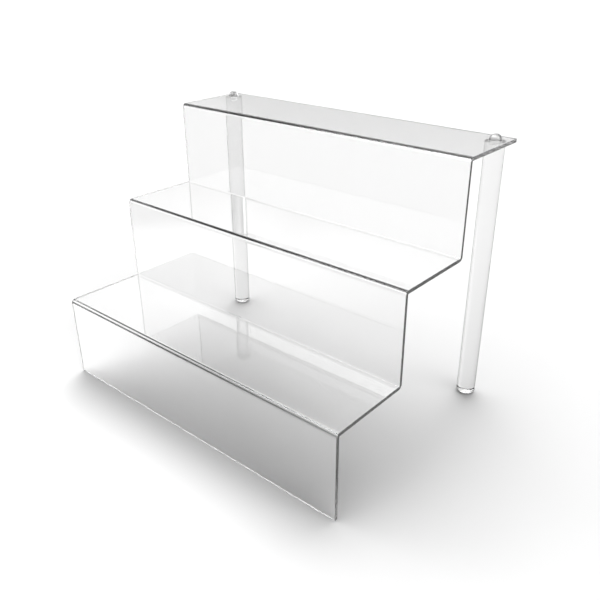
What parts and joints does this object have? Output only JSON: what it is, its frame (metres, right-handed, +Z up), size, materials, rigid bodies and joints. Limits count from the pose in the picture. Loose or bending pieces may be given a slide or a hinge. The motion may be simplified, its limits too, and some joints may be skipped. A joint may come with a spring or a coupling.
{
  "type": "tiered shelf riser",
  "caption": "Clear acrylic sheet bent into stair-like display shelves, standing on its front panel and on round rod legs under the back corners of the top shelf.",
  "frame": {"origin": "centre of the footprint, on the surface that the riser stands on", "axes": "+X to the right seen from the front, +Y from the low front step to the high back step, +Z up"},
  "size_m": [0.305, 0.2198, 0.2323],
  "materials": {
    "clear_sheet": "clear acrylic, polished",
    "clear_rod": "clear acrylic, polished",
    "clear_screw": "clear plastic, polished"
  },
  "bodies": {
    "root": {"stepped_shelf": "clear_sheet", "left_leg": "clear_rod", "right_leg": "clear_rod", "left_leg_screw": "clear_screw", "right_leg_screw": "clear_screw"}
  },
  "joints": []
}
